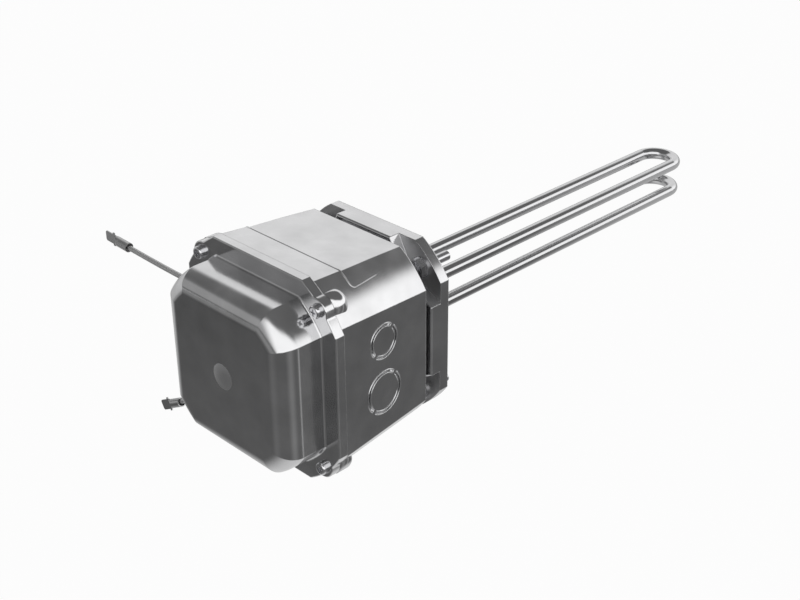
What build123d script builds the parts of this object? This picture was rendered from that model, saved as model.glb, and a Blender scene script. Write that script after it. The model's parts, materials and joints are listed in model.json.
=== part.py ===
from build123d import *
import math
import os

# Flanged water-jacket heater: a cast terminal box with a domed cover, on a
# flange that carries two hairpin tubes and four bolts.
# The origin is the centre of the flange's mounting face.
# +Y runs along the tubes, +Z is up, and the box stands on the -Y side.
# All sizes are in millimetres. A distance "out" is measured towards -Y.

# Element flange
flange_half = 73.4
flange_corner_r = 87.0
plate_t = 8.6
rim_h = 9.8
rim_edge_r = 1.8
neck_half = 63.0
neck_corner_r = 76.0
groove_w = 6.55
pocket_r = 12.0
pocket_flare = 29.0
box_screw_core_depth = 13.0

# Bolts that hold the flange to the engine. The plain shank is as thick as a
# rolled thread's pitch circle and ends a little past the mounting face, and
# the thread runs from there to the tip.
bolt_square = 108.0
bolt_d = 8.0
bolt_shank_d = 7.2
bolt_shank_past = 1.0
bolt_hole_d = 9.0
bolt_reach = 19.0
bolt_head_af = 13.0
bolt_head_h = 5.3
bolt_tip_chamfer = 1.0
bolt_washer_d = 16.0
bolt_washer_t = 1.6

# Terminal box. Its back is smaller than its front by the two tapers.
box_len = 89.4
box_front_half = 80.7
box_taper = 6.4
box_corner_taper = 8.6
box_wall = 4.0
box_floor_t = 4.0
box_floor_opening_d = 84.0
boss_inset = 4.5
boss_r = 12.0
boss_len = 15.6
boss_end_r = 4.4

# Shallow field across the top of the box
field_step_out = 88.4
field_fade_out = 56.0
field_depth = 0.65
field_low_z = 69.0
field_corner_r = 3.3

# Knockouts in the side walls, and the opened one that takes the leads
lead_out = 71.9
small_knockout_z = 25.4
small_knockout_d = 28.2
large_knockout_z = -17.4
large_knockout_d = 35.5
knockout_groove_w = 2.6
knockout_groove_depth = 1.5
knockout_tie_w = 3.0
knockout_tie_angle = 47.0
bushing_hole_d = 34.9
bushing_lip_d = 41.0
bushing_lip_t = 2.0
bushing_fit = 0.1

# Front cover. The screws stand in from its sides, the round corners stand
# out from the screws, and the dome keeps clear of their washers.
cover_lip = 2.3
cover_screw_inset = 17.8
cover_corner_margin = 4.5
cover_slab_t = 8.0
cover_edge_r = 1.0
cover_wall = 3.0
ear_inset = 1.9
ear_r = 11.0
ear_blend_r = 4.0
dome_margin = 14.6
dome_clearance = 4.5
dome_h = 36.5
dome_edge_share = 0.243
hollow_edge_share = 0.7
dome_drum_past = 0.05
dome_draft = 1.0
dome_foot_r = 1.5
button_d = 21.0
button_h = 1.1

# Cover screws, their washers and the cover's seal
cover_screw_d = 5.0
cover_screw_hole_d = 5.5
cover_screw_bite = 12.0
cover_screw_head_d = 10.0
cover_screw_head_h = 3.3
cover_screw_head_edge_r = 1.6
cover_screw_slot_w = 1.3
cover_screw_slot_len = 5.4
cover_screw_slot_depth = 1.8
cover_washer_d = 11.0
cover_washer_t = 1.0
cover_seal_w = 2.4
cover_seal_t = 1.6
cover_seal_loop_r = 6.5

# Screws and seal between the box and the flange
box_screw_circle_d = 108.0
box_screw_d = 5.0
box_screw_hole_d = 5.6
box_screw_bite = 12.0
box_screw_head_d = 9.0
box_screw_head_h = 5.0
box_screw_key_af = 4.0
box_screw_key_depth = 2.5
box_seal_t = 1.5
box_seal_margin = 1.0

# Hairpin tubes
tube_d = 10.9
tube_left_x = -26.0
tube_right_x = 9.8
upper_tube_z = 6.9
lower_tube_z = -19.8
tube_reach = 402.4
tube_fit = 0.1

# Terminal pins and what is stacked on them
pin_d = 4.0
pin_seat = 20.0
pin_fit = 0.05
pin_tail = 2.0
insulator_d = 10.0
insulator_top_d = 7.6
insulator_len = 8.0
insulator_base_len = 5.0
nut_af = 7.0
nut_t = 3.2
pin_washer_d = 9.0
pin_washer_t = 1.0
link_t = 0.8
link_hole_d = 4.3
jumper_w = 9.0

# Leads, with a ring terminal inside and a blade terminal outside
lead_d = 4.7
lead_gap = 12.7
lead_fit = 0.1
lead_turn_x = -52.0
lead_arc_share = 0.45
ring_d = 9.0
ring_tongue_w = 5.0
ring_barrel_d = 6.4
ring_barrel_start = 6.5
ring_barrel_len = 9.5
ring_lead_bite = 6.0
blade_barrel_d = 8.6
blade_barrel_len = 20.0
blade_mouth_d = 7.0
blade_mouth_depth = 5.0
blade_lead_bite = 12.0
blade_flat_start = 14.0
blade_total_len = 34.7
blade_w = 9.6
blade_t = 1.0
blade_shoulder_w = 12.8
blade_shoulder_start = 21.5
blade_shoulder_len = 2.2
blade_tip_cut = 1.2
blade_seam_w = 0.6
blade_seam_depth = 0.6
blade_seam_angle = 45.0

# Earth screw in the floor of the box
earth_screw_place = 40.0
earth_screw_d = 4.0
earth_screw_head_d = 8.0
earth_screw_head_h = 3.0
earth_screw_slot_w = 1.0
earth_screw_slot_depth = 1.3

# General fits
thread_fit = 0.05
overcut = 1.0

# Levels along Y, worked out from the sizes above
plate_front_y = -plate_t
rim_front_y = plate_front_y - rim_h
neck_front_y = rim_front_y - groove_w + box_seal_t
box_back_y = rim_front_y - groove_w
box_floor_y = box_back_y - box_floor_t
box_front_y = box_back_y - box_len
slab_front_y = box_front_y - cover_slab_t
dome_front_y = slab_front_y - dome_h
bolt_head_y = plate_front_y - bolt_washer_t
lead_y = -lead_out
link_back_y = lead_y + ring_barrel_d / 2
link_front_y = link_back_y - link_t
insulator_front_y = link_back_y + nut_t
sheath_end_y = insulator_front_y + insulator_len
pin_nut_y = link_front_y - pin_washer_t
pin_end_y = pin_nut_y - nut_t - pin_tail

# Widths of the box and the cover, worked out from the sizes above. A square
# is the distance between the middles of two neighbouring corner features.
cover_half = box_front_half + cover_lip
cover_screw_square = 2 * (cover_half - cover_screw_inset)
cover_screw_out = math.hypot(cover_screw_square / 2, cover_screw_square / 2)
cover_corner_r = cover_screw_out + cover_corner_margin
ear_square = cover_screw_square - 2 * ear_inset
boss_square = cover_screw_square - 2 * boss_inset
box_back_half = box_front_half - box_taper
box_front_corner_r = cover_corner_r
box_back_corner_r = box_front_corner_r - box_corner_taper
dome_half = cover_half - dome_margin
dome_corner_r = cover_screw_out - cover_washer_d / 2 - dome_clearance
dome_edge_r = dome_edge_share * dome_half

# Places across the axis, worked out from the sizes above
tube_r = tube_d / 2
tube_bend_r = (tube_right_x - tube_left_x) / 2
tube_bend_y = tube_reach - tube_r - tube_bend_r
lead_r = lead_d / 2
upper_lead_z = large_knockout_z + lead_gap / 2
lower_lead_z = large_knockout_z - lead_gap / 2
box_draft = math.atan(box_taper / box_len)

LOW_END = (Align.CENTER, Align.CENTER, Align.MIN)


# A plane across the Y axis, with local x = X, local y = Z, and its normal
# pointing out towards -Y.
def across(y, x=0.0, z=0.0):
    return Plane(origin=(x, y, z), x_dir=(1, 0, 0), z_dir=(0, -1, 0))


# A round bar along Y from back_y out to front_y, at the place (x, z).
def bar(place, back_y, front_y, radius):
    x, z = place
    return across(back_y, x, z) * Cylinder(radius, back_y - front_y, align=LOW_END)


# A prism along Y from back_y out to front_y, with the given outline.
def prism(outline, back_y, front_y):
    return extrude(across(back_y) * outline, amount=back_y - front_y)


# The section that the castings share: a square whose corners are arcs of
# one circle about the axis.
def rounded_square(half, corner_r):
    return Rectangle(2 * half, 2 * half) & Circle(corner_r)


# A casting with draft on its four flats and on its round corners.
def drafted_drum(back_y, front_y, back, front):
    back_half, back_r = back
    front_half, front_r = front
    length = back_y - front_y
    draft = math.degrees(math.atan((front_half - back_half) / length))
    square = across(back_y) * Rectangle(2 * back_half, 2 * back_half)
    flats = extrude(square, amount=length, taper=-draft)
    corners = across(back_y) * Cone(back_r, front_r, length, align=LOW_END)
    return flats & corners


def corner_places(square):
    half = square / 2
    return [(half, half), (-half, half), (-half, -half), (half, -half)]


def circle_places(circle_d):
    r = circle_d / 2
    return [(r, 0.0), (0.0, r), (-r, 0.0), (0.0, -r)]


def tube_places():
    rows = (upper_tube_z, lower_tube_z)
    return [(x, z) for x in (tube_left_x, tube_right_x) for z in rows]


def at_places(outline, places):
    return Sketch() + [Pos(x, z) * outline for x, z in places]


# Half width and corner radius of the outside of the box at the level y.
def box_section(y, inset=0.0):
    share = (box_back_y - y) / box_len
    half = box_back_half + share * (box_front_half - box_back_half) - inset
    corner = box_back_corner_r + share * (box_front_corner_r - box_back_corner_r) - inset
    return half, corner


# A plane on the right (side = 1) or left (side = -1) wall, normal outwards.
def wall_plane(side, y, z):
    half, _ = box_section(y)
    along = (-side * math.sin(box_draft), math.cos(box_draft), 0)
    outward = (side * math.cos(box_draft), math.sin(box_draft), 0)
    return Plane(origin=(side * half, y, z), x_dir=along, z_dir=outward)


def hexagon(across_flats):
    return RegularPolygon(across_flats / 2, 6, major_radius=False, rotation=30)


# One corner pocket of the flange: round about the bolt, with walls that
# leave the circle tangentially and flare outwards.
def pocket_outline():
    flare = math.radians(pocket_flare)
    along = Vector(-math.sin(flare), math.cos(flare))
    seat = Vector(bolt_square / 2, bolt_square / 2)
    touch = seat + Vector(-math.cos(flare), -math.sin(flare)) * pocket_r
    far = touch + along * flange_half
    mirrored_touch = Vector(touch.Y, touch.X)
    mirrored_far = Vector(far.Y, far.X)
    outside = Vector(2 * flange_half, 2 * flange_half)
    edge = Polyline(seat, touch, far, outside, mirrored_far, mirrored_touch, close=True)
    return make_face(edge) + Pos(seat.X, seat.Y) * Circle(pocket_r)


def pocket_outlines():
    one = pocket_outline()
    return Sketch() + [Rot(0, 0, 90 * turn) * one for turn in range(4)]


def element_flange():
    pockets = pocket_outlines()
    plate = prism(rounded_square(flange_half, flange_corner_r), 0, plate_front_y)
    pads = rounded_square(flange_half, flange_corner_r) - pockets
    rim = prism(pads, plate_front_y, rim_front_y)
    rim = fillet(rim.edges().group_by(Axis.Y)[0], rim_edge_r)
    neck_shape = rounded_square(neck_half, neck_corner_r) - pockets
    neck = prism(neck_shape, plate_front_y, neck_front_y)
    flange = plate + rim + neck
    for place in corner_places(bolt_square):
        flange -= bar(place, overcut, plate_front_y - overcut, bolt_hole_d / 2)
    for place in tube_places():
        flange -= bar(place, overcut, neck_front_y - overcut, tube_r + tube_fit)
    for place in circle_places(box_screw_circle_d):
        core_y = neck_front_y + box_screw_core_depth
        flange -= bar(place, core_y, neck_front_y - overcut, box_screw_d / 2 + thread_fit)
    return flange


def mounting_bolts():
    bolts = []
    for place in corner_places(bolt_square):
        shank = bar(place, bolt_shank_past, bolt_head_y, bolt_shank_d / 2)
        thread = bar(place, bolt_reach, bolt_shank_past, bolt_d / 2)
        thread = chamfer(thread.edges().group_by(Axis.Y)[-1], bolt_tip_chamfer)
        head = prism(Pos(*place) * hexagon(bolt_head_af), bolt_head_y, bolt_head_y - bolt_head_h)
        bolts.append(shank + thread + head)
    return bolts


def washers(places, back_y, thickness, outer_d, hole_d):
    front_y = back_y - thickness
    rings = []
    for place in places:
        disc = bar(place, back_y, front_y, outer_d / 2)
        rings.append(disc - bar(place, back_y + overcut, front_y - overcut, hole_d / 2))
    return rings


# The cut for the shallow field: everything in its outline that stands above
# a drum which meets the box at the fade line and lies deeper at the step.
def field_cut():
    top_z = 2 * box_front_half
    end_out = field_fade_out - overcut
    points = [(-field_step_out, field_low_z), (-field_step_out, top_z),
              (-end_out, top_z), (-end_out, field_low_z)]
    side_view = make_face(Polyline(*points, close=True))
    low_corner = side_view.vertices().sort_by(Axis.Y)[:2].sort_by(Axis.X)[0]
    side_view = fillet(low_corner, field_corner_r)
    block = extrude(Plane.YZ * side_view, amount=2 * box_front_half, both=True)

    def lowered(y):
        drop = field_depth * (-field_fade_out - y) / (field_step_out - field_fade_out)
        return box_section(y, drop)

    back_y = -end_out + overcut
    front_y = -field_step_out - overcut
    return block - drafted_drum(back_y, front_y, lowered(back_y), lowered(front_y))


def knockout_cut(side, z, outer_d):
    depth = 2 * knockout_groove_depth
    ring = Cylinder(outer_d / 2, depth) - Cylinder(outer_d / 2 - knockout_groove_w, depth)
    ties = Rot(0, 0, knockout_tie_angle) * Box(2 * outer_d, knockout_tie_w, 2 * depth)
    return wall_plane(side, lead_y, z) * (ring - ties)


def terminal_box():
    shell = drafted_drum(box_back_y, box_front_y, box_section(box_back_y), box_section(box_front_y))
    shell -= field_cut()
    mouth_y = box_front_y - overcut
    back = box_section(box_floor_y, box_wall)
    shell -= drafted_drum(box_floor_y, mouth_y, back, box_section(mouth_y, box_wall))
    for place in corner_places(boss_square):
        boss = bar(place, box_front_y + boss_len, box_front_y, boss_r)
        shell += fillet(boss.edges().group_by(Axis.Y)[-1], boss_end_r)
    for place in corner_places(cover_screw_square):
        core_y = box_front_y + cover_screw_bite + overcut
        shell -= bar(place, core_y, mouth_y, cover_screw_d / 2 + thread_fit)
    floor_back_y = box_back_y + overcut
    floor_front_y = box_floor_y - overcut
    shell -= bar((0, 0), floor_back_y, floor_front_y, box_floor_opening_d / 2)
    for place in circle_places(box_screw_circle_d):
        shell -= bar(place, floor_back_y, floor_front_y, box_screw_hole_d / 2)
    earth = (earth_screw_place, earth_screw_place)
    shell -= bar(earth, floor_back_y, floor_front_y, earth_screw_d / 2 + thread_fit)
    for side in (1, -1):
        shell -= knockout_cut(side, small_knockout_z, small_knockout_d)
    shell -= knockout_cut(1, large_knockout_z, large_knockout_d)
    bushing_plane = wall_plane(-1, lead_y, large_knockout_z)
    shell -= bushing_plane * Cylinder(bushing_hole_d / 2, 4 * box_wall)
    return shell


# Rubber bushing with a lip on each side of the wall and one hole a lead.
def lead_bushing():
    wall_t = box_wall * math.cos(box_draft)
    height = wall_t + 2 * bushing_lip_t
    body = Cylinder(bushing_hole_d / 2 - bushing_fit, height, align=LOW_END)
    lip = Cylinder(bushing_lip_d / 2, bushing_lip_t, align=LOW_END)
    body = body + lip + Pos(0, 0, bushing_lip_t + wall_t) * lip
    seat = wall_plane(-1, lead_y, large_knockout_z)
    bushing = seat * Pos(0, 0, -wall_t - bushing_lip_t) * body
    for z in (upper_lead_z, lower_lead_z):
        hole = Cylinder(lead_r + lead_fit, 2 * box_back_half)
        bushing -= Pos(-box_back_half, lead_y, z) * Rot(0, 90, 0) * hole
    return bushing


# X where the leads leave the outer lip of the bushing.
def lead_exit_x():
    half, _ = box_section(lead_y)
    return -half - bushing_lip_t / math.cos(box_draft)


def cover_outline():
    ears = at_places(Circle(ear_r), corner_places(ear_square))
    outline = rounded_square(cover_half, cover_corner_r) + ears
    ear_half = ear_square / 2
    joints = []
    for vertex in outline.vertices():
        off_x = abs(vertex.X) - ear_half
        off_z = abs(vertex.Y) - ear_half
        if abs(math.hypot(off_x, off_z) - ear_r) < thread_fit:
            joints.append(vertex)
    return fillet(joints, ear_blend_r)


# A dome with draft on its sides and one rounding all along its front edge.
# The drum reaches a little further out than the block, so that its rounding
# cuts the block's front at an angle and never only touches it.
def dome():
    square = across(slab_front_y) * Rectangle(2 * dome_half, 2 * dome_half)
    block = extrude(square, amount=dome_h, taper=dome_draft)
    block = fillet(block.edges().group_by(Axis.Y)[0], dome_edge_r)
    drum_h = dome_h + dome_drum_past
    front_r = dome_corner_r - drum_h * math.tan(math.radians(dome_draft))
    drum = across(slab_front_y) * Cone(dome_corner_r, front_r, drum_h, align=LOW_END)
    drum = fillet(drum.edges().group_by(Axis.Y)[0], dome_edge_r)
    return block & drum


# The dome's hollow, with the same draft as the dome outside it. Its front
# edges are cut off flat, which keeps the wall under the dome's rounding.
def dome_hollow():
    half = dome_half - cover_wall
    corner_r = dome_corner_r - cover_wall
    front_y = dome_front_y + cover_wall
    shrink = (slab_front_y - front_y) * math.tan(math.radians(dome_draft))
    front = (half - shrink, corner_r - shrink)
    hollow = drafted_drum(slab_front_y, front_y, (half, corner_r), front)
    edge_cut = hollow_edge_share * (dome_edge_r - cover_wall)
    hollow = chamfer(hollow.edges().group_by(Axis.Y)[0], edge_cut)
    return hollow + prism(rounded_square(half, corner_r), box_front_y + overcut, slab_front_y)


def cover_seal_outline():
    middle_half = box_front_half - box_wall / 2
    middle_r = box_front_corner_r - box_wall / 2
    band = cover_seal_w / 2
    places = corner_places(cover_screw_square)
    outer = rounded_square(middle_half + band, middle_r + band)
    outer -= at_places(Circle(cover_seal_loop_r - band), places)
    inner = rounded_square(middle_half - band, middle_r - band)
    inner -= at_places(Circle(cover_seal_loop_r + band), places)
    return outer - inner


# A low round button, part of a sphere, in the middle of the cover.
def cover_button():
    a = button_d / 2
    ball_r = (a * a + button_h * button_h) / (2 * button_h)
    ball = Pos(0, 0, button_h - ball_r) * Sphere(ball_r)
    return across(dome_front_y) * (ball & Cylinder(a, button_h, align=LOW_END))


# The edges where the dome's foot meets the slab.
def dome_foot_edges(cover):
    found = []
    for edge in cover.edges().filter_by_position(Axis.Y, slab_front_y, slab_front_y):
        middle = edge.center()
        if max(abs(middle.X), abs(middle.Z)) < dome_half + thread_fit:
            found.append(edge)
    return found


def front_cover():
    slab = prism(cover_outline(), box_front_y, slab_front_y)
    slab = fillet(slab.edges().group_by(Axis.Y)[0], cover_edge_r)
    cover = slab + dome()
    cover = fillet(dome_foot_edges(cover), dome_foot_r)
    cover += cover_button()
    cover -= dome_hollow()
    cover -= prism(cover_seal_outline(), box_front_y, box_front_y - cover_seal_t)
    for place in corner_places(cover_screw_square):
        hole = bar(place, box_front_y + overcut, slab_front_y - overcut, cover_screw_hole_d / 2)
        cover -= hole
    return cover


def cover_gasket():
    return prism(cover_seal_outline(), box_front_y, box_front_y - cover_seal_t)


def cover_screws():
    screws = []
    seat_y = slab_front_y - cover_washer_t
    top_y = seat_y - cover_screw_head_h
    slot = Rectangle(cover_screw_slot_len, cover_screw_slot_w)
    cross = slot + Rot(0, 0, 90) * slot
    for place in corner_places(cover_screw_square):
        head = bar(place, seat_y, top_y, cover_screw_head_d / 2)
        head = fillet(head.edges().group_by(Axis.Y)[0], cover_screw_head_edge_r)
        shank = bar(place, box_front_y + cover_screw_bite, seat_y, cover_screw_d / 2)
        recess = prism(Pos(*place) * cross, top_y + cover_screw_slot_depth, top_y - overcut)
        screws.append(head + shank - recess)
    return screws


def box_gasket():
    margin = box_seal_margin
    outline = rounded_square(neck_half - margin, neck_corner_r - margin) - pocket_outlines()
    outline -= Circle(box_floor_opening_d / 2)
    outline -= at_places(Circle(box_screw_hole_d / 2), circle_places(box_screw_circle_d))
    return prism(outline, neck_front_y, box_back_y)


def box_screws():
    screws = []
    tip_y = neck_front_y + box_screw_bite
    top_y = box_floor_y - box_screw_head_h
    for place in circle_places(box_screw_circle_d):
        head = bar(place, box_floor_y, top_y, box_screw_head_d / 2)
        shank = bar(place, tip_y, box_floor_y, box_screw_d / 2)
        key = Pos(*place) * hexagon(box_screw_key_af)
        socket = prism(key, top_y + box_screw_key_depth, top_y - overcut)
        screws.append(head + shank - socket)
    return screws


# One bent tube: two straight legs and a half-circle bend, with a bore in
# each open end for its terminal pin.
def hairpin(z):
    left_end = Vector(tube_left_x, sheath_end_y, z)
    left_bend = Vector(tube_left_x, tube_bend_y, z)
    middle = Vector((tube_left_x + tube_right_x) / 2, tube_bend_y + tube_bend_r, z)
    right_bend = Vector(tube_right_x, tube_bend_y, z)
    right_end = Vector(tube_right_x, sheath_end_y, z)
    path = Line(left_end, left_bend) + ThreePointArc(left_bend, middle, right_bend)
    path += Line(right_bend, right_end)
    tube = sweep(across(sheath_end_y, tube_left_x, z) * Circle(tube_r), path=path)
    for x in (tube_left_x, tube_right_x):
        bore_r = pin_d / 2 + pin_fit
        tube -= bar((x, z), sheath_end_y + pin_seat, sheath_end_y - overcut, bore_r)
    return tube


def terminal_pins():
    return [bar(place, sheath_end_y + pin_seat, pin_end_y, pin_d / 2) for place in tube_places()]


def pin_insulators():
    rings = []
    step_y = sheath_end_y - insulator_base_len
    for place in tube_places():
        ring = bar(place, sheath_end_y, step_y, insulator_d / 2)
        ring += bar(place, step_y, insulator_front_y, insulator_top_d / 2)
        bore_r = pin_d / 2 + pin_fit
        ring -= bar(place, sheath_end_y + overcut, insulator_front_y - overcut, bore_r)
        rings.append(ring)
    return rings


def nuts(back_y):
    front_y = back_y - nut_t
    made = []
    for place in tube_places():
        nut = prism(Pos(*place) * hexagon(nut_af), back_y, front_y)
        made.append(nut - bar(place, back_y + overcut, front_y - overcut, pin_d / 2 + pin_fit))
    return made


# A strip that joins the two right-hand pins, so the tubes are in series.
def jumper_bar():
    spread = upper_tube_z - lower_tube_z
    middle_z = (upper_tube_z + lower_tube_z) / 2
    strip = Rot(0, 0, 90) * SlotCenterToCenter(spread, jumper_w)
    places = [(0, spread / 2), (0, -spread / 2)]
    strip -= at_places(Circle(link_hole_d / 2), places)
    return prism(Pos(tube_right_x, middle_z) * strip, link_back_y, link_front_y)


# Direction, across the axis, from a left-hand pin to the turn in its lead.
def lead_direction(pin_z, lead_z):
    return Vector(lead_turn_x - tube_left_x, 0, lead_z - pin_z).normalized()


def ring_terminal(pin_z, lead_z):
    seat = Plane(origin=(tube_left_x, link_back_y, pin_z),
                 x_dir=lead_direction(pin_z, lead_z), z_dir=(0, -1, 0))
    barrel_end = ring_barrel_start + ring_barrel_len
    flat = Circle(ring_d / 2) + Pos(barrel_end / 2, 0) * Rectangle(barrel_end, ring_tongue_w)
    flat -= Circle(link_hole_d / 2)
    plate = extrude(flat, amount=link_t)
    barrel_at = Pos(ring_barrel_start, 0, ring_barrel_d / 2) * Rot(0, 90, 0)
    outer = Cylinder(ring_barrel_d / 2, ring_barrel_len, align=LOW_END)
    bore = Cylinder(lead_r + lead_fit, ring_barrel_len + overcut, align=LOW_END)
    return seat * (plate + barrel_at * outer - barrel_at * bore)


# A lead along the given points, with arcs as large as its runs allow.
def lead_tube(name, points):
    corners = [Vector(*point) for point in points]
    radii = []
    for before, corner, after in zip(corners, corners[1:], corners[2:]):
        turn = math.radians((corner - before).get_angle(after - corner))
        run = min((corner - before).length, (after - corner).length)
        radii.append(lead_arc_share * run / math.tan(turn / 2))
    path = FilletPolyline(*corners, radius=radii)
    start = Plane(origin=corners[0], z_dir=corners[1] - corners[0])
    tube = sweep(start * Circle(lead_r), path=path)
    expected = math.pi * lead_r ** 2 * path.length
    print(name, "radii", [round(r, 1) for r in radii], "length", round(path.length, 1),
          "volume share", round(tube.volume / expected, 4))
    return tube


# The part of a lead inside the box, from its ring terminal to the bushing.
def lead_tail(name, pin_z, lead_z):
    along = lead_direction(pin_z, lead_z)
    reach = ring_barrel_start + ring_barrel_len - ring_lead_bite
    start = Vector(tube_left_x, lead_y, pin_z) + along * reach
    turn = (lead_turn_x, lead_y, lead_z)
    return lead_tube(name, [tuple(start), turn, (lead_exit_x(), lead_y, lead_z)])


def upper_lead_points():
    return [
        (lead_exit_x(), lead_y, upper_lead_z),
        (-121.0, lead_y, upper_lead_z),
        (-168.0, lead_y, -12.1),
        (-212.0, lead_y, -11.7),
        (-256.0, lead_y, -10.5),
    ]


def lower_lead_points():
    return [
        (lead_exit_x(), lead_y, lower_lead_z),
        (-108.0, lead_y, lower_lead_z),
        (-130.5, lead_y, -50.0),
        (-144.5, lead_y, -90.0),
        (-167.0, lead_y, -135.0),
        (-196.6, lead_y, -151.2),
    ]


# A blade terminal at the end of a lead. Local x runs from the open end of
# its barrel to the blade's tip, and local y is the blade's width.
def blade_terminal(points):
    before = Vector(*points[-2])
    end = Vector(*points[-1])
    along = (end - before).normalized()
    mouth = end - along * blade_lead_bite
    seat = Plane(origin=mouth, x_dir=along, z_dir=(0, 1, 0))
    on_axis = Rot(0, 90, 0)
    barrel = on_axis * Cylinder(blade_barrel_d / 2, blade_shoulder_start, align=LOW_END)
    half_t = blade_t / 2
    half_d = blade_barrel_d / 2
    side = Polyline((0, half_d), (blade_flat_start, half_d), (blade_shoulder_start, half_t),
                    (blade_shoulder_start, -half_t), (blade_flat_start, -half_d), (0, -half_d),
                    close=True)
    wedge = extrude(Plane.XZ * make_face(side), amount=blade_barrel_d, both=True)
    barrel = barrel & wedge
    lead_bore = Cylinder(lead_r + lead_fit, 2 * blade_lead_bite)
    mouth_bore = Cylinder(blade_mouth_d / 2, 2 * blade_mouth_depth)
    barrel = barrel - on_axis * lead_bore - on_axis * mouth_bore
    seam = Box(2 * blade_flat_start, blade_seam_w, 2 * blade_seam_depth)
    barrel -= Rot(blade_seam_angle, 0, 0) * Pos(0, 0, -half_d) * seam
    shoulder_end = blade_shoulder_start + blade_shoulder_len
    blade_len = blade_total_len - blade_barrel_len
    blade = Pos(blade_total_len - blade_len / 2, 0) * Rectangle(blade_len, blade_w)
    blade = chamfer(blade.vertices().group_by(Axis.X)[-1], blade_tip_cut)
    shoulder_middle = (blade_shoulder_start + shoulder_end) / 2
    blade += Pos(shoulder_middle, 0) * Rectangle(blade_shoulder_len, blade_shoulder_w)
    flat = Pos(0, 0, -half_t) * extrude(blade, amount=blade_t)
    return seat * (barrel + flat)


def earth_screw():
    place = (earth_screw_place, earth_screw_place)
    top_y = box_floor_y - earth_screw_head_h
    screw = bar(place, box_floor_y, top_y, earth_screw_head_d / 2)
    screw += bar(place, box_back_y, box_floor_y, earth_screw_d / 2)
    slot = Pos(*place) * Rectangle(2 * earth_screw_head_d, earth_screw_slot_w)
    return screw - prism(slot, top_y + earth_screw_slot_depth, top_y - overcut)


def write(name, shape):
    if isinstance(shape, list):
        shape = Compound(children=shape)
    export_step(shape, "parts/" + name + ".step")


def main():
    os.makedirs("parts", exist_ok=True)
    upper_points = upper_lead_points()
    lower_points = lower_lead_points()
    screw_places = corner_places(cover_screw_square)
    bolt_places = corner_places(bolt_square)

    write("front_cover", front_cover())
    write("cover_gasket", cover_gasket())
    write("cover_screws", cover_screws())
    write("cover_screw_washers",
          washers(screw_places, slab_front_y, cover_washer_t, cover_washer_d, cover_screw_hole_d))
    write("terminal_box", terminal_box())
    write("lead_bushing", lead_bushing())
    write("earth_screw", earth_screw())
    write("box_gasket", box_gasket())
    write("box_screws", box_screws())
    write("element_flange", element_flange())
    write("mounting_bolts", mounting_bolts())
    write("mounting_bolt_washers",
          washers(bolt_places, plate_front_y, bolt_washer_t, bolt_washer_d, bolt_hole_d))
    write("upper_hairpin", hairpin(upper_tube_z))
    write("lower_hairpin", hairpin(lower_tube_z))
    write("terminal_pins", terminal_pins())
    write("pin_insulators", pin_insulators())
    write("pin_base_nuts", nuts(insulator_front_y))
    write("pin_top_nuts", nuts(pin_nut_y))
    write("pin_washers",
          washers(tube_places(), link_front_y, pin_washer_t, pin_washer_d, link_hole_d))
    write("jumper_bar", jumper_bar())
    write("upper_ring_terminal", ring_terminal(upper_tube_z, upper_lead_z))
    write("lower_ring_terminal", ring_terminal(lower_tube_z, lower_lead_z))
    write("upper_lead_tail", lead_tail("upper tail", upper_tube_z, upper_lead_z))
    write("lower_lead_tail", lead_tail("lower tail", lower_tube_z, lower_lead_z))
    write("upper_lead", lead_tube("upper lead", upper_points))
    write("lower_lead", lead_tube("lower lead", lower_points))
    write("upper_blade_terminal", blade_terminal(upper_points))
    write("lower_blade_terminal", blade_terminal(lower_points))


main()
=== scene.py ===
import json
import math

import bpy
from mathutils import Euler, Matrix, Vector


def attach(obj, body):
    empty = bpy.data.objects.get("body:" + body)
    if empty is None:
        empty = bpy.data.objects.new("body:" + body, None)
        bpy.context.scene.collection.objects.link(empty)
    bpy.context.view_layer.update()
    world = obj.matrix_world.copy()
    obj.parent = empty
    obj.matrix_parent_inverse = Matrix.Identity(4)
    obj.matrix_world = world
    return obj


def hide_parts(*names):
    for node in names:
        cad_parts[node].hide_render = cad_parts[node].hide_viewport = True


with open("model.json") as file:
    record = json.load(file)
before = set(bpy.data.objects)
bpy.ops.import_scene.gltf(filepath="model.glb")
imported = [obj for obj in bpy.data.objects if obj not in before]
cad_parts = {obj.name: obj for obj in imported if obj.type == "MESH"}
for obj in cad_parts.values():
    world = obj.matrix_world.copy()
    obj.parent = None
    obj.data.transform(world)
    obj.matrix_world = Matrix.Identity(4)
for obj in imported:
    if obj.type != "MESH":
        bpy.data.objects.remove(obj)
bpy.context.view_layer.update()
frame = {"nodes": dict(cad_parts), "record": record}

print("frame loaded:", len(frame["nodes"]), "nodes")

mm = 0.001


# An sRGB hex colour as linear red, green, blue and alpha.
def hexColour(text):
    channels = [int(text[i:i + 2], 16) / 255 for i in (1, 3, 5)]
    linear = [c / 12.92 if c <= 0.04045 else ((c + 0.055) / 1.055) ** 2.4 for c in channels]
    return (*linear, 1.0)


# Adds one node with its settings. A list fills its inputs in order, a dictionary by name or number. A node
# among them is linked from its first output, a socket as it is, and anything else is the input's value.
def addNode(tree, kind, inputs=(), **settings):
    node = tree.nodes.new("ShaderNode" + kind)
    for key, value in settings.items():
        setattr(node, key, value)
    for key, value in (inputs.items() if isinstance(inputs, dict) else enumerate(inputs)):
        source = value.outputs[0] if isinstance(value, bpy.types.Node) else value
        if isinstance(source, bpy.types.NodeSocket):
            tree.links.new(source, node.inputs[key])
        else:
            node.inputs[key].default_value = source
    return node


def newMaterial(name):
    material = bpy.data.materials.new(name)
    material.use_nodes = True
    material.node_tree.nodes.clear()
    return material, material.node_tree


def useMaterial(piece, material):
    piece.data.materials.clear()
    piece.data.materials.append(material)


smooth = {"interpolation_type": "SMOOTHSTEP"}  # for a Map Range that eases in and out

# Camera, solved from the photograph's perspective

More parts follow.
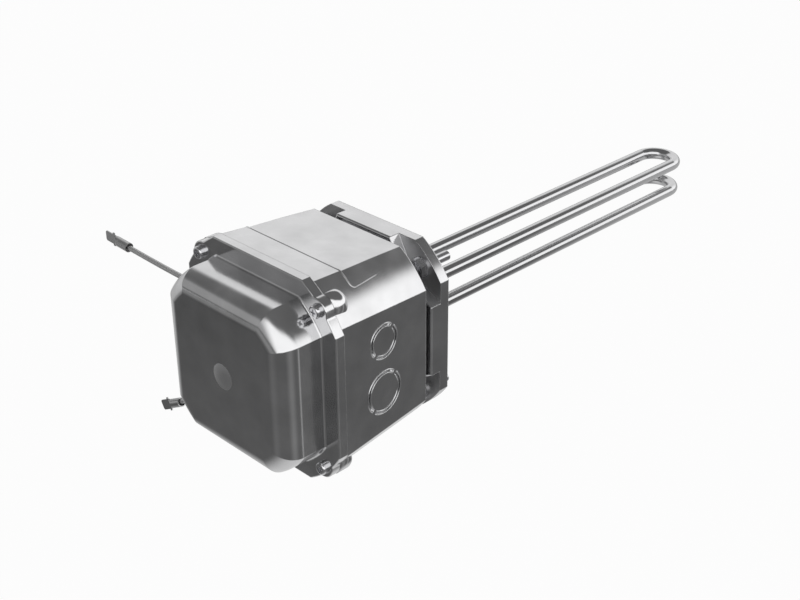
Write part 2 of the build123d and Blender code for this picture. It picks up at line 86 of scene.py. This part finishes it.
camera = {
    "place": (0.6778, -0.6475, 0.5082),  # metres
    "azimuth": 45.38,
    "elevation": 28.39,
    "roll": -0.40,
    "lensMm": 60.38,
    "sensorMm": 36,
    "clip": (0.01, 100),  # metres
}


def makeCamera():
    data = bpy.data.cameras.new("photoCamera")
    data.lens = camera["lensMm"]
    data.sensor_width = camera["sensorMm"]
    data.clip_start, data.clip_end = camera["clip"]
    obj = bpy.data.objects.new("photoCamera", data)
    bpy.context.scene.collection.objects.link(obj)
    tilt = Euler((math.radians(90 - camera["elevation"]), 0, math.radians(camera["azimuth"]))).to_matrix()
    turn = Matrix.Rotation(math.radians(camera["roll"]), 3, "Z")
    obj.matrix_world = Matrix.Translation(camera["place"]) @ (tilt @ turn).to_4x4()
    bpy.context.scene.camera = obj


makeCamera()
print("camera placed")

# Buffed castings: the cover, the box and the flange

# The box's flats and turned corners both grow from its back towards the cover.
box = {
    "backMm": -24.95,
    "halfMm": 74.3,  # from the middle to a flat side, at the back
    "halfGrow": 0.0716,  # mm for each mm towards the cover
    "cornerMm": 88.1,  # radius of the turned corners, at the back
    "cornerGrow": 0.0962,
}
# Turned corners: their radius where they start, how it grows towards the front, and the rounding at the end.
boxCorners = {
    "startMm": box["backMm"],
    "radiusMm": box["cornerMm"],
    "grow": box["cornerGrow"],
    "roundingMm": 0.0,
}
domeCorners = {
    "startMm": -122.35,
    "radiusMm": 82.2,
    "grow": -0.0175,
    "roundingMm": 16.6,
    "roundingStartMm": -142.25,
}
# What counts as lying on a turned corner.
cornerReach = {
    "underMm": 0.9,
    "overMm": 0.5,
    "pastStartMm": 1.6,
    "along": 0.966,  # the face looks along its spoke to within 15 degrees
    "aside": 0.15,  # less than this, and the face looks to the front or the back
}
# The low round button in the middle of the cover.
button = {
    "frontMm": -158.9,
    "deepMm": 0.3,
    "rimMm": 10.5,
    "softMm": 0.4,
    "ballMm": -109.25,  # middle of the ball that its front is a part of
    "roughness": 0.4,  # as cast: the wheel doesn't reach it
}
# The floors of the flange's corner pockets: rougher, where the cast skin stays too, and darker with painted
# shade.
pockets = {
    "fromMm": -17.0,
    "facing": -0.9,
    # painted shade: how much of their colour the pocket floors keep
    "shade": 0.62,
    "roughness": 0.42,
}
# Real buffing marks are about 0.1 mm wide. The grain is drawn at 0.9 mm, as coarse as it needs to show.
cast = {
    "colour": "#dcdcdd",
    "roughness": 0.14,
    "edgeMm": 0.9,
    "edgeSamples": 8,
    "grainMm": 0.9,
    "grainDetail": 3.0,
    "grainStrength": 0.06,
    "grainDepthMm": 0.1,
    "mottleMm": 26,  # patches as wide as a buffing wheel's touch
    "mottleDetail": 4.0,
    "roughFrom": (0.35, 0.65),
    "roughShare": (0.85, 1.2),
    "tintFrom": (0.3, 0.7),
    "tint": (0.85, 1.0),
}
coverFinish = {**cast, "corners": domeCorners, "button": button}
boxFinish = {**cast, "corners": boxCorners}
flangeFinish = {**cast, "pockets": pockets}
detailFinish = {**cast, "edgeMm": 0.3}


# A place's distance along Y, and its spoke: the place without that distance.
def addSpoke(tree, place):
    parts = addNode(tree, "SeparateXYZ", [place])
    spoke = addNode(tree, "CombineXYZ", {"X": parts.outputs["X"], "Z": parts.outputs["Z"]})
    return parts.outputs["Y"], spoke


# Normals of the turned corners and of their rounding, exact where the mesh's own are uneven.
def addTurnedNormal(tree, place, corners):
    y, spoke = addSpoke(tree, place)
    radius = addNode(tree, "VectorMath", [spoke], operation="LENGTH").outputs["Value"]
    radial = addNode(tree, "VectorMath", [spoke], operation="NORMALIZE")
    surface = addNode(tree, "NewGeometry")
    facing = addSpoke(tree, surface.outputs["True Normal"])[1]
    aside = addNode(tree, "VectorMath", [facing], operation="LENGTH").outputs["Value"]
    facing = addNode(tree, "VectorMath", [facing], operation="NORMALIZE")
    along = addNode(tree, "VectorMath", [radial, facing], operation="DOT_PRODUCT").outputs["Value"]
    past = addNode(tree, "Math", [corners["startMm"] * mm, y], operation="SUBTRACT")
    grown = addNode(tree, "Math", [past, corners["grow"], corners["radiusMm"] * mm], operation="MULTIPLY_ADD")
    outline = grown
    sink, rise = 0.0, 1.0  # sine and cosine of how far the rounding has turned to the front
    if corners["roundingMm"]:
        ahead = addNode(tree, "Math", [corners["roundingStartMm"] * mm, y], operation="SUBTRACT")
        sink = addNode(tree, "Math", [ahead, corners["roundingMm"] * mm], operation="DIVIDE", use_clamp=True)
        square = addNode(tree, "Math", [sink, sink], operation="MULTIPLY")
        rest = addNode(tree, "Math", [1.0, square], operation="SUBTRACT")
        rise = addNode(tree, "Math", [rest], operation="SQRT")
        lost = addNode(tree, "Math", [1.0, rise], operation="SUBTRACT")
        lost = addNode(tree, "Math", [lost, corners["roundingMm"] * mm], operation="MULTIPLY")
        outline = addNode(tree, "Math", [grown, lost], operation="SUBTRACT")
    least = addNode(tree, "Math", [outline, cornerReach["underMm"] * mm], operation="SUBTRACT")
    most = addNode(tree, "Math", [grown, cornerReach["overMm"] * mm], operation="ADD")
    start = (corners["startMm"] - cornerReach["pastStartMm"]) * mm
    onCorner = addNode(tree, "Math", [radius, least], operation="GREATER_THAN")
    for value, test, limit in (
        (along, "GREATER_THAN", cornerReach["along"]),
        (aside, "GREATER_THAN", cornerReach["aside"]),
        (radius, "LESS_THAN", most),
        (y, "LESS_THAN", start),
    ):
        passed = addNode(tree, "Math", [value, limit], operation=test)
        onCorner = addNode(tree, "Math", [onCorner, passed], operation="MULTIPLY")
    lean = addNode(tree, "Math", [rise, corners["grow"]], operation="MULTIPLY")
    lean = addNode(tree, "Math", [lean, sink], operation="SUBTRACT")
    outward = addNode(tree, "VectorMath", {0: radial, "Scale": rise}, operation="SCALE")
    leaning = addNode(tree, "CombineXYZ", {"Y": lean})
    turned = addNode(tree, "VectorMath", [outward, leaning], operation="ADD")
    normals = {0: onCorner, 4: surface.outputs["Normal"], 5: turned}
    blend = addNode(tree, "Mix", normals, data_type="VECTOR").outputs[1]
    return addNode(tree, "VectorMath", [blend], operation="NORMALIZE")


# 1 on the button, 0 elsewhere.
def addButtonMask(tree, place, button):
    y, spoke = addSpoke(tree, place)
    radius = addNode(tree, "VectorMath", [spoke], operation="LENGTH").outputs["Value"]
    outer, inner = button["rimMm"] + button["softMm"], button["rimMm"] - button["softMm"]
    inside = addNode(tree, "MapRange", [radius, outer * mm, inner * mm], **smooth)
    front = (button["frontMm"] + button["deepMm"]) * mm
    proud = addNode(tree, "Math", [y, front], operation="LESS_THAN")
    return addNode(tree, "Math", [inside, proud], operation="MULTIPLY")


# 1 on the floors of the flange's corner pockets, where the shade is painted, 0 elsewhere.
def addPocketMask(tree, place, pockets):
    surface = addNode(tree, "NewGeometry")
    look = addNode(tree, "SeparateXYZ", [surface.outputs["True Normal"]]).outputs["Y"]
    y = addNode(tree, "SeparateXYZ", [place]).outputs["Y"]
    facing = addNode(tree, "Math", [look, pockets["facing"]], operation="LESS_THAN")
    deep = addNode(tree, "Math", [y, pockets["fromMm"] * mm], operation="GREATER_THAN")
    return addNode(tree, "Math", [facing, deep], operation="MULTIPLY")


# Cast aluminium, buffed: bright and neutral, with a fine grain, soft uneven patches of polish and edges that
# catch the light. The steel flange is buffed the same way and looks alike, and has shade painted on the
# floors of its pockets.
def buffedCasting(name, finish):
    material, tree = newMaterial(name)
    place = addNode(tree, "TexCoord").outputs["Object"]
    grain = addNode(tree, "TexNoise", {
        "Vector": place, "Scale": 1 / (finish["grainMm"] * mm), "Detail": finish["grainDetail"],
    })
    mottle = addNode(tree, "TexNoise", {
        "Vector": place, "Scale": 1 / (finish["mottleMm"] * mm), "Detail": finish["mottleDetail"],
    })
    roughness = [finish["roughness"] * share for share in finish["roughShare"]]
    rough = addNode(tree, "MapRange", [mottle, *finish["roughFrom"], *roughness])
    tint = addNode(tree, "MapRange", [mottle, *finish["tintFrom"], *finish["tint"]])
    bevelInputs = {"Radius": finish["edgeMm"] * mm}
    if "corners" in finish:
        bevelInputs["Normal"] = addTurnedNormal(tree, place, finish["corners"])
    if "button" in finish:
        mask = addButtonMask(tree, place, finish["button"])
        rough = addNode(tree, "Mix", {0: mask, 2: rough, 3: finish["button"]["roughness"]})
        toBall = (0, -finish["button"]["ballMm"] * mm, 0)
        ball = addNode(tree, "VectorMath", [place, toBall], operation="ADD")
        ball = addNode(tree, "VectorMath", [ball], operation="NORMALIZE")
        normals = {0: mask, 4: bevelInputs["Normal"], 5: ball}
        bevelInputs["Normal"] = addNode(tree, "Mix", normals, data_type="VECTOR").outputs[1]
    # Painted shade: the pocket floors are darkened, and rough like the cast skin.
    if "pockets" in finish:
        mask = addPocketMask(tree, place, finish["pockets"])
        shade = addNode(tree, "Mix", {0: mask, 2: 1.0, 3: finish["pockets"]["shade"]})
        tint = addNode(tree, "Math", [tint, shade], operation="MULTIPLY")
        rough = addNode(tree, "Mix", {0: mask, 2: rough, 3: finish["pockets"]["roughness"]})
    colours = {0: 1.0, 6: hexColour(finish["colour"]), 7: tint}
    colour = addNode(tree, "Mix", colours, data_type="RGBA", blend_type="MULTIPLY").outputs[2]
    bump = addNode(tree, "Bump", {
        "Height": grain,
        "Strength": finish["grainStrength"],
        "Distance": finish["grainDepthMm"] * mm,
        "Normal": addNode(tree, "Bevel", bevelInputs, samples=finish["edgeSamples"]),
    })
    shader = addNode(tree, "BsdfPrincipled", {
        "Base Color": colour, "Roughness": rough, "Normal": bump, "Metallic": 1.0,
    })
    addNode(tree, "OutputMaterial", [shader])
    return material


# Plain finishes: colour, roughness and how metallic each is

plainFinishes = {
    "drawnTubeSteel": ("#cfcfd0", 0.12, 1.0),  # stainless, drawn and polished: sharp light along the tubes
    "zincPlatedSteel": ("#dadadc", 0.2, 1.0),  # bright plate on formed screws and bolts: small soft glints
    "tinnedCopper": ("#aeaeae", 0.22, 1.0),  # pressed terminals: the greyer, milky shine of tin plate
    "machinedBrass": ("#b59a5c", 0.3, 1.0),  # turned nuts and washers: yellow, with a broad sheen
    "mouldedRubber": ("#262628", 0.6, 0.0),  # seals and bushing: black and dull
    "firedSteatite": ("#e6e2d8", 0.45, 0.0),  # ceramic insulators: cream, with a faint gloss
}
# The fine marks on all of them are under 0.1 mm wide, and are drawn as coarse as they need to show.
fineMarks = {
    "widthMm": 0.6,
    "detail": 3.0,
    "roughFrom": (0.3, 0.7),
    "roughShare": (0.8, 1.25),
    "strength": 0.05,
    "depthMm": 0.1,
}


def plainSurface(name):
    hexValue, roughness, metallic = plainFinishes[name]
    material, tree = newMaterial(name)
    place = addNode(tree, "TexCoord").outputs["Object"]
    marks = addNode(tree, "TexNoise", {
        "Vector": place, "Scale": 1 / (fineMarks["widthMm"] * mm), "Detail": fineMarks["detail"],
    })
    roughnesses = [roughness * share for share in fineMarks["roughShare"]]
    rough = addNode(tree, "MapRange", [marks, *fineMarks["roughFrom"], *roughnesses])
    bump = addNode(tree, "Bump", {
        "Height": marks, "Strength": fineMarks["strength"], "Distance": fineMarks["depthMm"] * mm,
    })
    shader = addNode(tree, "BsdfPrincipled", {
        "Base Color": hexColour(hexValue), "Roughness": rough, "Normal": bump, "Metallic": metallic,
    })
    addNode(tree, "OutputMaterial", [shader])
    return material


# Strands of a real braid are about 0.2 mm wide. The rows are drawn 2.2 mm apart, as coarse as they need to
# show.
braid = {
    # The painted highlight on the strands' backs and the painted shade between them.
    "light": "#efefef",
    "dark": "#7c7c7c",
    "pitchMm": 2.2,
    "slant": 1.4,
    "middle": 0.5,
    "crossShare": 0.35,
    "rowShare": 0.15,
    "strength": 0.25,
    "depthMm": 0.2,
    "roughness": 0.34,
    "metallic": 0.85,
}


# Tinned copper strands, braided into a sleeve: slanting rows, with a painted highlight on their backs and
# painted shade between them.
def braidedSleeve(name):
    material, tree = newMaterial(name)
    place = addNode(tree, "TexCoord").outputs["Object"]
    turns = 2 * math.pi / (braid["pitchMm"] * mm)
    waves = []
    for way in ((1, 0, braid["slant"]), (1, -braid["slant"], 0)):
        across = addNode(tree, "VectorMath", [place, way], operation="DOT_PRODUCT").outputs["Value"]
        angle = addNode(tree, "Math", [across, turns], operation="MULTIPLY")
        waves.append(addNode(tree, "Math", [angle], operation="SINE"))
    rows = addNode(tree, "Math", waves, operation="MULTIPLY")
    rows = addNode(tree, "Math", [rows, braid["crossShare"], braid["middle"]], operation="MULTIPLY_ADD")
    rows = addNode(tree, "Math", [waves[0], braid["rowShare"], rows], operation="MULTIPLY_ADD")
    colours = {0: rows, 6: hexColour(braid["dark"]), 7: hexColour(braid["light"])}
    colour = addNode(tree, "Mix", colours, data_type="RGBA").outputs[2]
    bump = addNode(tree, "Bump", {
        "Height": rows, "Strength": braid["strength"], "Distance": braid["depthMm"] * mm,
    })
    shader = addNode(tree, "BsdfPrincipled", {
        "Base Color": colour, "Roughness": braid["roughness"], "Normal": bump, "Metallic": braid["metallic"],
    })
    addNode(tree, "OutputMaterial", [shader])
    return material


# Each solid takes the finish of its own name, or else of its slot in the record.
finishOf = {
    "front_cover": buffedCasting("buffedAluminiumCover", coverFinish),
    "terminal_box": buffedCasting("buffedAluminiumBox", boxFinish),
    "element_flange": buffedCasting("buffedSteelFlange", flangeFinish),
}
steel = plainSurface("drawnTubeSteel")
zinc = plainSurface("zincPlatedSteel")
rubber = plainSurface("mouldedRubber")
sleeve = braidedSleeve("braidedLeadSleeve")
finishOfSlot = {
    "flange_steel": steel,
    "tube_sheath": steel,
    "pin_steel": steel,
    "bolt_steel": zinc,
    "zinc_screws": zinc,
    "brass_fittings": plainSurface("machinedBrass"),
    "tinned_copper": plainSurface("tinnedCopper"),
    "insulator_ceramic": plainSurface("firedSteatite"),
    "gasket_rubber": rubber,
    "bushing_rubber": rubber,
    "lead_sleeve": sleeve,
}
slotOf = {part["node"]: part["material_slot"] for part in frame["record"]["subparts"]}
for nodeName, node in frame["nodes"].items():
    useMaterial(node, finishOf.get(nodeName) or finishOfSlot[slotOf[nodeName]])
print("finishes set")

# Leads: NURBS lines whose control points are the points of the solid leads, in mm

leadSize = {
    "diameter": 4.7 * mm,
    "roundness": 5,
    "smoothness": 24,
}
upperLead = {
    "solid": "upper_lead",
    "terminal": "upper_blade_terminal",
    "length": 176.4 * mm,
    "route": [
        (-79.663, -71.9, -11.05), (-121.0, -71.9, -11.05), (-168.0, -71.9, -12.1),
        (-212.0, -71.9, -11.7), (-256.0, -71.9, -10.5),
    ],
}
lowerLead = {
    "solid": "lower_lead",
    "terminal": "lower_blade_terminal",
    "length": 186.4 * mm,
    "route": [
        (-79.663, -71.9, -23.75), (-108.0, -71.9, -23.75), (-130.5, -71.9, -50.0),
        (-144.5, -71.9, -90.0), (-167.0, -71.9, -135.0), (-196.6, -71.9, -151.2),
    ],
}


def makeLead(name, lead, material):
    curve = bpy.data.curves.new(name, "CURVE")
    curve.dimensions = "3D"
    curve.bevel_depth = leadSize["diameter"] / 2
    curve.bevel_resolution = leadSize["roundness"]
    curve.resolution_u = leadSize["smoothness"]
    curve.use_fill_caps = True
    points = [[c * mm for c in place] for place in lead["route"]]
    spline = curve.splines.new("NURBS")
    spline.points.add(len(points) - 1)
    for point, place in zip(spline.points, points):
        point.co = (*place, 1)
    spline.order_u = 3
    spline.use_endpoint_u = True
    piece = bpy.data.objects.new(name, curve)
    bpy.context.scene.collection.objects.link(piece)
    curve.materials.append(material)
    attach(piece, "root")
    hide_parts(lead["solid"])


makeLead("upperLeadWire", upperLead, sleeve)
makeLead("lowerLeadWire", lowerLead, sleeve)
print("leads made")

# Cast details of the box: boss ends behind the cover's ears, rims round the knockouts, the field's edge


# Half the box's width between its flats, and the radius of its turned corners, at a place along Y.
def halfAt(y):
    return box["halfMm"] + box["halfGrow"] * (box["backMm"] - y)


def cornerAt(y):
    return box["cornerMm"] + box["cornerGrow"] * (box["backMm"] - y)


def circleAngles(count):
    return [2 * math.pi * k / count for k in range(count)]


# A closed form on the box through rings of points, each with as many points as the others.
def addRings(name, rings, material):
    around = len(rings[0])
    verts = [point * mm for ring in rings for point in ring]
    faces = []
    for i in range(len(rings) - 1):
        for k in range(around):
            a, b = i * around + k, i * around + (k + 1) % around
            faces.append((a, a + around, b + around, b))
    faces.append(tuple(range(around)))
    faces.append(tuple(reversed(range(len(verts) - around, len(verts)))))
    mesh = bpy.data.meshes.new(name)
    mesh.from_pydata(verts, [], faces)
    mesh.validate()
    mesh.update()
    mesh.shade_smooth()
    mesh.materials.append(material)
    piece = bpy.data.objects.new(name, mesh)
    bpy.context.scene.collection.objects.link(piece)
    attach(piece, "root")


# A thin bead along a path on a surface. outs are the surface's normals there.
def addBead(name, path, outs, radii, material):
    last = len(path) - 1
    rings = []
    for i, place in enumerate(path):
        ahead = (path[min(i + 1, last)] - path[max(i - 1, 0)]).normalized()
        side = ahead.cross(outs[i]).normalized()
        up = side.cross(ahead)
        rings.append([place + (side * math.cos(a) + up * math.sin(a)) * radii[i] for a in circleAngles(12)])
    addRings(name, rings, material)


bosses = {
    "outMm": 64.0,  # from the middle, sideways and up or down
    "radiusMm": 10.5,
    "startMm": -114.3,
    "lengthMm": 15.0,
    "endMm": 6.0,  # the rounding of the end
    "endSteps": 10,
    "around": 48,
}


def makeBosses(material):
    end, steps = bosses["endMm"], bosses["endSteps"]
    profile = [(bosses["startMm"], bosses["radiusMm"])]
    for i in range(steps + 1):
        angle = math.pi / 2 * i / steps
        y = bosses["startMm"] + bosses["lengthMm"] - end + end * math.sin(angle)
        profile.append((y, bosses["radiusMm"] - end + end * math.cos(angle)))
    for sideX, sideName in ((-1, "Left"), (1, "Right")):
        for sideZ, heightName in ((-1, "Lower"), (1, "Upper")):
            middle = Vector((sideX * bosses["outMm"], 0, sideZ * bosses["outMm"]))
            rings = [[middle + Vector((radius * math.cos(a), y, radius * math.sin(a)))
                      for a in circleAngles(bosses["around"])] for y, radius in profile]
            addRings("coverBoss" + heightName + sideName, rings, material)


# Both sizes of knockout are on the right. On the left the large one is open and holds the bushing.
knockouts = {
    "yMm": -71.9,
    "sizes": {"Small": {"zMm": 25.4, "acrossMm": 28.2}, "Large": {"zMm": -17.4, "acrossMm": 35.5}},
    "grooveMm": 2.6,
    "tieAngle": 47.0,  # degrees from level
    "tieMm": 3.6,
    "beadMm": 0.55,
    "steps": 32,
}


def makeRims(material):
    y, steps = knockouts["yMm"], knockouts["steps"]
    for sideX, sideName, sizeNames in ((1, "Right", ("Small", "Large")), (-1, "Left", ("Small",))):
        out = Vector((sideX, box["halfGrow"], 0)).normalized()
        flat = Vector((-box["halfGrow"] * sideX, 1, 0)).normalized()
        for sizeName in sizeNames:
            size = knockouts["sizes"][sizeName]
            middle = Vector((sideX * halfAt(y), y, size["zMm"]))
            outer = size["acrossMm"] / 2
            for ringName, radius in (("Outer", outer), ("Inner", outer - knockouts["grooveMm"])):
                gap = math.asin(knockouts["tieMm"] / 2 / radius)
                for part in range(2):
                    start = math.radians(knockouts["tieAngle"]) + gap + math.pi * part
                    angles = [start + (math.pi - 2 * gap) * i / steps for i in range(steps + 1)]
                    path = [middle + flat * radius * math.cos(a) + Vector((0, 0, radius * math.sin(a)))
                            for a in angles]
                    name = "knockoutRim" + sizeName + ringName + sideName + str(part)
                    addBead(name, path, [out] * len(path), [knockouts["beadMm"]] * len(path), material)


# The shallow field on top ends in a low step: along both sides, round two corners and across the box.
fieldEdge = {
    "stepMm": -88.4,  # where the step crosses the box
    "endMm": -57.0,  # where it dies out along the sides
    "lowMm": 69.0,  # height of the sides
    "cornerMm": 3.3,
    "beadMm": 0.7,
    "sinkMm": 0.3,
    "sideSteps": 14,
    "cornerStep": 15,  # degrees
    "riseSteps": 6,
    "acrossSteps": 20,
    "leastShare": 0.25,  # of the bead's radius, at its ends
    "fadeSteps": 10,
}


def makeFieldBead(material):
    edge = fieldEdge
    stepY, endY, lowZ, turn = edge["stepMm"], edge["endMm"], edge["lowMm"], edge["cornerMm"]
    top = halfAt(stepY)
    turnY, turnZ = stepY + turn, lowZ + turn
    corner = [math.radians(a) for a in range(0, 91, edge["cornerStep"])]
    spots = [(endY + (turnY - endY) * i / edge["sideSteps"], lowZ) for i in range(edge["sideSteps"])]
    spots += [(turnY - turn * math.sin(a), turnZ - turn * math.cos(a)) for a in corner]
    spots += [(stepY, turnZ + (top - turnZ) * i / edge["riseSteps"]) for i in range(1, edge["riseSteps"] + 1)]
    right = [Vector((math.sqrt(cornerAt(y) ** 2 - z * z), y, z)) for y, z in spots]
    rightOuts = [Vector((v.x, cornerAt(v.y) * box["cornerGrow"], v.z)).normalized() for v in right]
    steps = edge["acrossSteps"]
    across = [Vector((right[-1].x * (1 - 2 * i / steps), stepY, top)) for i in range(1, steps)]
    left = [Vector((-v.x, v.y, v.z)) for v in reversed(right)]
    leftOuts = [Vector((-v.x, v.y, v.z)) for v in reversed(rightOuts)]
    outs = rightOuts + [Vector((0, 0, 1))] * len(across) + leftOuts
    path = [place - out * edge["sinkMm"] for place, out in zip(right + across + left, outs)]
    last = len(path) - 1
    shares = [min(1.0, edge["leastShare"] + min(i, last - i) / edge["fadeSteps"]) for i in range(last + 1)]
    addBead("fieldEdgeBead", path, outs, [edge["beadMm"] * share for share in shares], material)


castDetail = buffedCasting("buffedAluminiumDetail", detailFinish)
makeBosses(castDetail)
print("bosses made")
makeRims(castDetail)
print("knockout rims made")
makeFieldBead(castDetail)
print("field bead made")

# Studio: a pale floor, a grey card over it that only reflections see, and a sky with a bright band

floor = {
    "z": -0.42,  # metres
    "half": 15,
    "colour": "#f6f6f6",
    "glow": 0.955,  # to the camera, and in glossy and clear surfaces
}
# The bands are turned about the cover's front corner: degrees from the front right, half width, gain.
# The other gains ease in between two distances in metres.
card = {
    "lift": 0.02,
    "centre": (0.066, -0.14, 0),
    "frontRight": (0.702, -0.712, 0),
    "aside": (-0.712, -0.702, 0),
    "level": 0.136,
    "faceLevel": 0.124,
    "faceFrom": (62, 82),
    "bands": [(60, 30, 0.035), (-32, 26, 0.1), (-76, 6, 0.32)],
    "backLeft": (0.08, 0.5, 0.42),
    "frontLeftFar": (0.7, 1.0, -0.028),
    "frontLeftEdge": (1.1, 2.2, 0.16),
    "under": (0.52, 0.12, 0.6),
}
# Levels of the band and of the sky above it, where each side begins, and how the band's top tilts there.
sky = {
    "cap": 0.152,
    "backLeft": 0.93,
    "frontLeft": 0.4,
    "right": 1.36,
    "rightFrom": (-0.15, 0.3),
    "frontFrom": (0.0, 0.6),
    "frontRightFrom": (-0.6, 0.2),
    "frontLeftTilt": 0.17,
    "backRightTilt": 0.095,
    "frontRightTilt": -0.12,
    "foot": (0.02, 0.09),
    "top": (0.685, 0.57),
}
diagonal = math.sqrt(0.5)


def addPlane(name, z, material):
    half = floor["half"]
    corners = [(-half, -half, z), (half, -half, z), (half, half, z), (-half, half, z)]
    mesh = bpy.data.meshes.new(name)
    mesh.from_pydata(corners, [], [(0, 1, 2, 3)])
    mesh.materials.append(material)
    plane = bpy.data.objects.new(name, mesh)
    bpy.context.scene.collection.objects.link(plane)
    return plane


# Matte paper, a little off white. The glow lifts it to white for the camera and leaves a faint shadow.
def makeFloor():
    material, tree = newMaterial("paperFloor")
    paper = addNode(tree, "BsdfDiffuse", {"Color": hexColour(floor["colour"])})
    glow = addNode(tree, "Emission", {"Strength": 1.0})
    path = addNode(tree, "LightPath")
    rays = [path.outputs["Is Camera Ray"], path.outputs["Is Glossy Ray"]]
    seen = addNode(tree, "Math", rays, operation="MAXIMUM")
    seen = addNode(tree, "Math", [seen, path.outputs["Is Transmission Ray"]], operation="MAXIMUM")
    share = addNode(tree, "Math", [seen, floor["glow"]], operation="MULTIPLY")
    addNode(tree, "OutputMaterial", [addNode(tree, "MixShader", [share, paper, glow])])
    addPlane("paperFloor", floor["z"], material)


# The card gives the metal the dark lower half that the photograph's metal mirrors.
def makeCard():
    material, tree = newMaterial("greyCard")
    place = addNode(tree, "NewGeometry").outputs["Position"]
    spoke = addNode(tree, "VectorMath", [place, card["centre"]], operation="SUBTRACT")
    aside = addNode(tree, "VectorMath", [spoke, card["aside"]], operation="DOT_PRODUCT").outputs["Value"]
    ahead = addNode(tree, "VectorMath", [spoke, card["frontRight"]], operation="DOT_PRODUCT").outputs["Value"]
    turn = addNode(tree, "Math", [aside, ahead], operation="ARCTAN2")
    turn = addNode(tree, "Math", [turn], operation="DEGREES")
    face = addNode(tree, "MapRange", [turn, *card["faceFrom"]], **smooth)
    level = addNode(tree, "Mix", {0: face, 2: card["level"], 3: card["faceLevel"]})
    gains = []
    for centre, halfWidth, gain in card["bands"]:
        away = addNode(tree, "Math", [turn, centre], operation="SUBTRACT")
        away = addNode(tree, "Math", [away], operation="ABSOLUTE")
        gains.append((away, halfWidth, 0, gain))
    backLeft, frontLeft = [
        addNode(tree, "VectorMath", [place, way], operation="DOT_PRODUCT").outputs["Value"]
        for way in ((-diagonal, diagonal, 0), (-diagonal, -diagonal, 0))
    ]
    flat = addNode(tree, "VectorMath", [place, (1, 1, 0)], operation="MULTIPLY")
    middle = addNode(tree, "VectorMath", [flat], operation="LENGTH").outputs["Value"]
    gains += [
        (backLeft, *card["backLeft"]),
        (frontLeft, *card["frontLeftFar"]),
        (frontLeft, *card["frontLeftEdge"]),
        (middle, *card["under"]),
    ]
    for distance, low, high, gain in gains:
        eased = addNode(tree, "MapRange", [distance, low, high], **smooth)
        level = addNode(tree, "Math", [eased, gain, level], operation="MULTIPLY_ADD")
    addNode(tree, "OutputMaterial", [addNode(tree, "Emission", {"Strength": level})])
    plane = addPlane("greyCard", floor["z"] + card["lift"], material)
    plane.visible_camera = False
    plane.visible_diffuse = False
    plane.visible_shadow = False
    plane.visible_transmission = False


# White for the camera. For everything else the band gives the light and what the metal mirrors.
def makeSky():
    world = bpy.data.worlds.new("softStudio")
    bpy.context.scene.world = world
    world.use_nodes = True
    tree = world.node_tree
    tree.nodes.clear()
    x, y, z = addNode(tree, "SeparateXYZ", [addNode(tree, "TexCoord").outputs["Generated"]]).outputs
    ahead = addNode(tree, "Math", [y, -1.0], operation="MULTIPLY")
    right = addNode(tree, "MapRange", [x, *sky["rightFrom"]], **smooth)
    left = addNode(tree, "Math", [1.0, right], operation="SUBTRACT")
    front = addNode(tree, "MapRange", [ahead, *sky["frontFrom"]], **smooth)
    frontLeft = addNode(tree, "Math", [front, left], operation="MULTIPLY")
    frontRight = addNode(tree, "MapRange", [ahead, *sky["frontRightFrom"]], **smooth)
    frontRight = addNode(tree, "Math", [frontRight, right], operation="MULTIPLY")
    backRight = addNode(tree, "Math", [right, frontRight], operation="SUBTRACT")
    height = z
    for side, tilt in (
        (frontLeft, sky["frontLeftTilt"]),
        (backRight, sky["backRightTilt"]),
        (frontRight, sky["frontRightTilt"]),
    ):
        height = addNode(tree, "Math", [side, tilt, height], operation="MULTIPLY_ADD")
    foot = addNode(tree, "MapRange", [z, *sky["foot"]], **smooth)
    top = addNode(tree, "MapRange", [height, *sky["top"]], **smooth)
    band = addNode(tree, "Math", [foot, top], operation="MULTIPLY")
    leftLevel = addNode(tree, "Mix", {0: front, 2: sky["backLeft"], 3: sky["frontLeft"]})
    level = addNode(tree, "Mix", {0: right, 2: leftLevel, 3: sky["right"]})
    level = addNode(tree, "Mix", {0: band, 2: sky["cap"], 3: level})
    seen = addNode(tree, "LightPath").outputs["Is Camera Ray"]
    strength = addNode(tree, "Mix", {0: seen, 2: level, 3: 1.0})
    background = addNode(tree, "Background", {"Color": hexColour("#ffffff"), "Strength": strength})
    addNode(tree, "OutputWorld", [background])


makeFloor()
makeCard()
makeSky()
print("studio made")

view = bpy.context.scene.view_settings
view.view_transform = "Standard"

bpy.context.view_layer.update()
